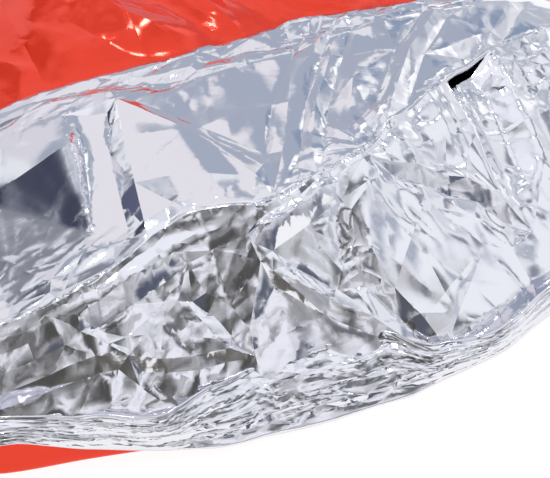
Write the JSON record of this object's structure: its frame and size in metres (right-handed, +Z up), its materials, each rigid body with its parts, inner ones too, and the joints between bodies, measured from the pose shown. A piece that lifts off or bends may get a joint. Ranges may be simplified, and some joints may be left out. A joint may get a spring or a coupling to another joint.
{
  "type": "emergency sleeping bag",
  "caption": "Emergency sleeping bag of aluminised film, orange outside and silver inside, lying open on a floor with its crumpled mouth cuffed back.",
  "frame": {"origin": "on the floor, under the middle of the bag's outline as it lies", "axes": "+X across the bag, +Y along it from the mouth to the foot, +Z up"},
  "size_m": [0.8948, 1.9344, 0.1465],
  "materials": {
    "orange_film": "glossy pigmented polyethylene film, the bag's outside",
    "silver_film": "bright vapour-aluminised film, the bag's inside"
  },
  "bodies": {
    "root": {"upper_panel": "orange_film", "lower_panel": "silver_film"}
  },
  "joints": []
}
